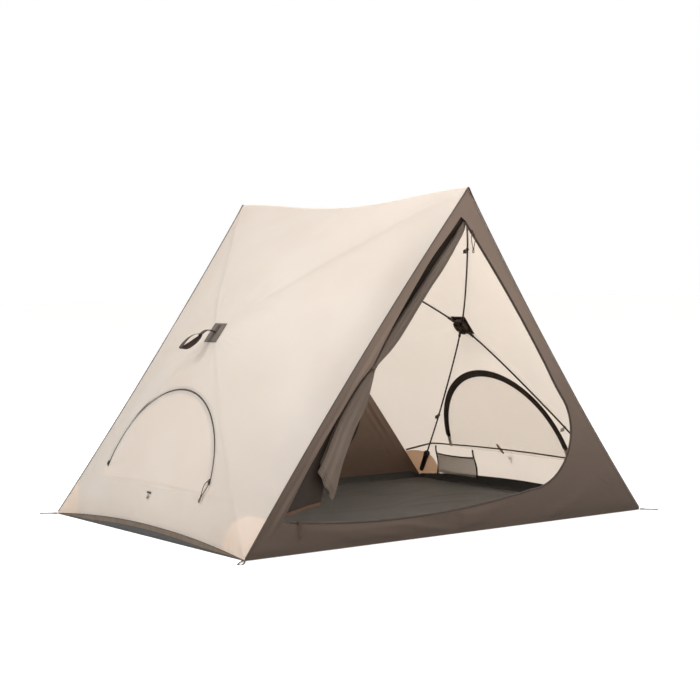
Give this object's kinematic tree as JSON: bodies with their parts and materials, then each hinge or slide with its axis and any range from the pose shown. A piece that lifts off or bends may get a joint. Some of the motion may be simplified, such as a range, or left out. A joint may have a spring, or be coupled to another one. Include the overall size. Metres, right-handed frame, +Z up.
{
  "type": "beach shelter tent",
  "caption": "Small A-frame hub tent with two sprung cream walls, a door tied back at the front, a closed door at the back and a tub floor.",
  "frame": {"origin": "on the ground under the middle of the tent", "axes": "+X to the right of someone who looks in at the doorway's front, +Y to the back gable, +Z up"},
  "size_m": [2.1222, 1.6222, 1.3458],
  "materials": {
    "cream_polyester": "matt plain weave, slightly translucent",
    "taupe_polyester": "matt plain weave",
    "lining": "thin plain weave with a slight sheen",
    "floor_cloth": "coated cloth, low sheen",
    "netting": "fine knitted net",
    "zip_tape": "woven tape with coil teeth",
    "webbing": "ribbed webbing",
    "patch": "heavy woven cloth",
    "black_nylon": "moulded, fine grain",
    "glassfibre": "satin resin surface",
    "zip_steel": "plated, lightly worn"
  },
  "bodies": {
    "shelter": {"floor_tub": "floor_cloth", "front_gable": "taupe_polyester", "back_gable": "taupe_polyester", "front_door": "taupe_polyester", "front_door_lining": "lining", "front_door_zip": "zip_tape", "front_door_tie": "webbing", "left_front_stake_loop": "webbing", "left_back_stake_loop": "webbing", "right_front_stake_loop": "webbing", "right_back_stake_loop": "webbing"},
    "back_door": {"back_door": "taupe_polyester"},
    "front_door_slider_low": {"front_door_slider_low": "zip_steel"},
    "front_door_slider_high": {"front_door_slider_high": "zip_steel"},
    "left_hub": {"left_hub": "black_nylon", "left_hub_patch": "patch"},
    "left_pull_loop": {"left_pull_loop": "webbing"},
    "left_pole_front_low": {"left_pole_front_low": "glassfibre", "left_boot_front_low": "black_nylon", "left_tie_front_low": "black_nylon"},
    "left_pole_back_low": {"left_pole_back_low": "glassfibre", "left_boot_back_low": "black_nylon", "left_tie_back_low": "black_nylon"},
    "left_pole_front_high": {"left_pole_front_high": "glassfibre", "left_tie_front_high": "black_nylon"},
    "left_pole_back_high": {"left_pole_back_high": "glassfibre"},
    "left_wall_lower": {"left_wall_lower": "cream_polyester", "left_window_zip": "zip_tape", "left_window_net": "netting", "left_window_toggle": "black_nylon"},
    "left_wall_front": {"left_wall_front": "cream_polyester"},
    "left_wall_back": {"left_wall_back": "cream_polyester"},
    "left_wall_top": {"left_wall_top": "cream_polyester"},
    "left_window_flap": {"left_window_flap": "cream_polyester"},
    "left_window_slider_front": {"left_window_slider_front": "zip_steel"},
    "left_window_slider_back": {"left_window_slider_back": "zip_steel"},
    "right_hub": {"right_hub": "black_nylon", "right_hub_patch": "patch"},
    "right_pull_loop": {"right_pull_loop": "webbing"},
    "right_pole_front_low": {"right_pole_front_low": "glassfibre", "right_boot_front_low": "black_nylon", "right_tie_front_low": "black_nylon"},
    "right_pole_back_low": {"right_pole_back_low": "glassfibre", "right_boot_back_low": "black_nylon", "right_tie_back_low": "black_nylon"},
    "right_pole_front_high": {"right_pole_front_high": "glassfibre", "right_tie_front_high": "black_nylon"},
    "right_pole_back_high": {"right_pole_back_high": "glassfibre"},
    "right_wall_lower": {"right_wall_lower": "cream_polyester", "right_window_zip": "zip_tape", "right_window_net": "netting", "right_window_toggle": "black_nylon", "gear_pocket": "netting"},
    "right_wall_front": {"right_wall_front": "cream_polyester"},
    "right_wall_back": {"right_wall_back": "cream_polyester"},
    "right_wall_top": {"right_wall_top": "cream_polyester"},
    "right_window_flap": {"right_window_flap": "cream_polyester"},
    "right_window_slider_front": {"right_window_slider_front": "zip_steel"},
    "right_window_slider_back": {"right_window_slider_back": "zip_steel"}
  },
  "joints": [
    {"name": "left_hub_snap", "type": "slide", "parent": "shelter", "child": "left_hub", "axis": [0.8016, 0, -0.5978], "range_m": [0, 0.304], "deforming": ["left_wall_lower", "left_wall_front", "left_wall_back", "left_wall_top", "left_window_zip", "left_window_net", "left_window_flap"]},
    {"name": "left_pole_front_low_pivot", "type": "hinge", "parent": "left_hub", "child": "left_pole_front_low", "pos_m": [-0.65489, -0.02003, 0.76214], "axis": [-0.3991, 0.7445, -0.5352], "range_deg": [0, 16.94]},
    {"name": "left_pole_back_low_pivot", "type": "hinge", "parent": "left_hub", "child": "left_pole_back_low", "pos_m": [-0.65489, 0.02003, 0.76214], "axis": [0.3991, 0.7445, 0.5352], "range_deg": [0, 16.94]},
    {"name": "left_pole_front_high_pivot", "type": "hinge", "parent": "left_hub", "child": "left_pole_front_high", "pos_m": [-0.62865, -0.02086, 0.79733], "axis": [-0.4156, -0.7188, -0.5573], "range_deg": [0, 16.31]},
    {"name": "left_pole_back_high_pivot", "type": "hinge", "parent": "left_hub", "child": "left_pole_back_high", "pos_m": [-0.62865, 0.02086, 0.79733], "axis": [0.4156, -0.7188, 0.5573], "range_deg": [0, 16.31]},
    {"name": "left_wall_lower_fold", "type": "hinge", "parent": "shelter", "child": "left_wall_lower", "pos_m": [-1, 0, 0.004], "axis": [0, 1, 0], "range_deg": [0, 20.53]},
    {"name": "left_wall_top_fold", "type": "hinge", "parent": "shelter", "child": "left_wall_top", "pos_m": [0, 0, 1.345], "axis": [0, -1, 0], "range_deg": [0, 20.53]},
    {"name": "left_wall_front_fold", "type": "hinge", "parent": "shelter", "child": "left_wall_front", "pos_m": [-0.51641, -0.77853, 0.65249], "axis": [-0.5974, 0.0352, -0.8011], "range_deg": [0, 21.99]},
    {"name": "left_wall_back_fold", "type": "hinge", "parent": "shelter", "child": "left_wall_back", "pos_m": [-0.51641, 0.77853, 0.65249], "axis": [0.5974, 0.0352, 0.8011], "range_deg": [0, 21.99]},
    {"name": "left_window_flap_fold", "type": "hinge", "parent": "left_wall_lower", "child": "left_window_flap", "pos_m": [-0.94246, 0.02, 0.18463], "axis": [0, -1, 0], "range_deg": [0, 130], "deforming": ["left_window_flap"]},
    {"name": "left_window_slider_front_run", "type": "hinge", "parent": "left_wall_lower", "child": "left_window_slider_front", "pos_m": [-0.9421, 0.02, 0.18286], "axis": [-0.9271, 0, 0.3748], "range_deg": [0, 78]},
    {"name": "left_window_slider_back_run", "type": "hinge", "parent": "left_wall_lower", "child": "left_window_slider_back", "pos_m": [-0.9421, 0.02, 0.18286], "axis": [0.9271, 0, -0.3748], "range_deg": [0, 78]},
    {"name": "left_pull_loop_bend", "type": "hinge", "parent": "left_hub", "child": "left_pull_loop", "pos_m": [-0.65525, 0, 0.79027], "axis": [0, 1, 0], "range_deg": [-40, 60]},
    {"name": "right_hub_snap", "type": "slide", "parent": "shelter", "child": "right_hub", "axis": [-0.8016, 0, -0.5978], "range_m": [0, 0.304], "deforming": ["right_wall_lower", "right_wall_front", "right_wall_back", "right_wall_top", "right_window_zip", "right_window_net", "right_window_flap", "gear_pocket"]},
    {"name": "right_pole_front_low_pivot", "type": "hinge", "parent": "right_hub", "child": "right_pole_front_low", "pos_m": [0.65489, -0.02003, 0.76214], "axis": [-0.3991, -0.7445, 0.5352], "range_deg": [0, 16.94]},
    {"name": "right_pole_back_low_pivot", "type": "hinge", "parent": "right_hub", "child": "right_pole_back_low", "pos_m": [0.65489, 0.02003, 0.76214], "axis": [0.3991, -0.7445, -0.5352], "range_deg": [0, 16.94]},
    {"name": "right_pole_front_high_pivot", "type": "hinge", "parent": "right_hub", "child": "right_pole_front_high", "pos_m": [0.62865, -0.02086, 0.79733], "axis": [-0.4156, 0.7188, 0.5573], "range_deg": [0, 16.31]},
    {"name": "right_pole_back_high_pivot", "type": "hinge", "parent": "right_hub", "child": "right_pole_back_high", "pos_m": [0.62865, 0.02086, 0.79733], "axis": [0.4156, 0.7188, -0.5573], "range_deg": [0, 16.31]},
    {"name": "right_wall_lower_fold", "type": "hinge", "parent": "shelter", "child": "right_wall_lower", "pos_m": [1, 0, 0.004], "axis": [0, -1, 0], "range_deg": [0, 20.53]},
    {"name": "right_wall_top_fold", "type": "hinge", "parent": "shelter", "child": "right_wall_top", "pos_m": [0, 0, 1.345], "axis": [0, 1, 0], "range_deg": [0, 20.53]},
    {"name": "right_wall_front_fold", "type": "hinge", "parent": "shelter", "child": "right_wall_front", "pos_m": [0.51641, -0.77853, 0.65249], "axis": [-0.5974, -0.0352, 0.8011], "range_deg": [0, 21.99]},
    {"name": "right_wall_back_fold", "type": "hinge", "parent": "shelter", "child": "right_wall_back", "pos_m": [0.51641, 0.77853, 0.65249], "axis": [0.5974, -0.0352, -0.8011], "range_deg": [0, 21.99]},
    {"name": "right_window_flap_fold", "type": "hinge", "parent": "right_wall_lower", "child": "right_window_flap", "pos_m": [0.94246, 0.02, 0.18463], "axis": [0, 1, 0], "range_deg": [0, 130], "deforming": ["right_window_flap"]},
    {"name": "right_window_slider_front_run", "type": "hinge", "parent": "right_wall_lower", "child": "right_window_slider_front", "pos_m": [0.9421, 0.02, 0.18286], "axis": [-0.9271, 0, -0.3748], "range_deg": [0, 78]},
    {"name": "right_window_slider_back_run", "type": "hinge", "parent": "right_wall_lower", "child": "right_window_slider_back", "pos_m": [0.9421, 0.02, 0.18286], "axis": [0.9271, 0, 0.3748], "range_deg": [0, 78]},
    {"name": "right_pull_loop_bend", "type": "hinge", "parent": "right_hub", "child": "right_pull_loop", "pos_m": [0.65525, 0, 0.79027], "axis": [0, -1, 0], "range_deg": [-40, 60]},
    {"name": "back_door_fold", "type": "hinge", "parent": "shelter", "child": "back_door", "pos_m": [-0.837, 0.74556, 0.122], "axis": [0.6076, 0.0343, 0.7935], "range_deg": [0, 100], "deforming": ["back_door"]},
    {"name": "front_door_slider_high_run", "type": "slide", "parent": "shelter", "child": "front_door_slider_high", "axis": [0.6161, 0.0529, -0.7859], "range_m": [0, 0.781]},
    {"name": "front_door_slider_low_run", "type": "hinge", "parent": "shelter", "child": "front_door_slider_low", "pos_m": [-0.27675, -0.61164, 4.21967], "axis": [0, -0.9995, 0.0327], "range_deg": [0, 14.5]}
  ],
  "couplings": [
    {"joint": "left_pole_front_low_pivot", "follows": "left_hub_snap", "rad_per_m": 0.97226},
    {"joint": "left_pole_back_low_pivot", "follows": "left_hub_snap", "rad_per_m": 0.97226},
    {"joint": "left_pole_front_high_pivot", "follows": "left_hub_snap", "rad_per_m": 0.93591},
    {"joint": "left_pole_back_high_pivot", "follows": "left_hub_snap", "rad_per_m": 0.93591},
    {"joint": "left_wall_lower_fold", "follows": "left_hub_snap", "rad_per_m": 1.1781},
    {"joint": "left_wall_top_fold", "follows": "left_hub_snap", "rad_per_m": 1.1781},
    {"joint": "left_wall_front_fold", "follows": "left_hub_snap", "rad_per_m": 1.2621},
    {"joint": "left_wall_back_fold", "follows": "left_hub_snap", "rad_per_m": 1.2621},
    {"joint": "right_pole_front_low_pivot", "follows": "right_hub_snap", "rad_per_m": 0.97226},
    {"joint": "right_pole_back_low_pivot", "follows": "right_hub_snap", "rad_per_m": 0.97226},
    {"joint": "right_pole_front_high_pivot", "follows": "right_hub_snap", "rad_per_m": 0.93591},
    {"joint": "right_pole_back_high_pivot", "follows": "right_hub_snap", "rad_per_m": 0.93591},
    {"joint": "right_wall_lower_fold", "follows": "right_hub_snap", "rad_per_m": 1.1781},
    {"joint": "right_wall_top_fold", "follows": "right_hub_snap", "rad_per_m": 1.1781},
    {"joint": "right_wall_front_fold", "follows": "right_hub_snap", "rad_per_m": 1.2621},
    {"joint": "right_wall_back_fold", "follows": "right_hub_snap", "rad_per_m": 1.2621}
  ]
}
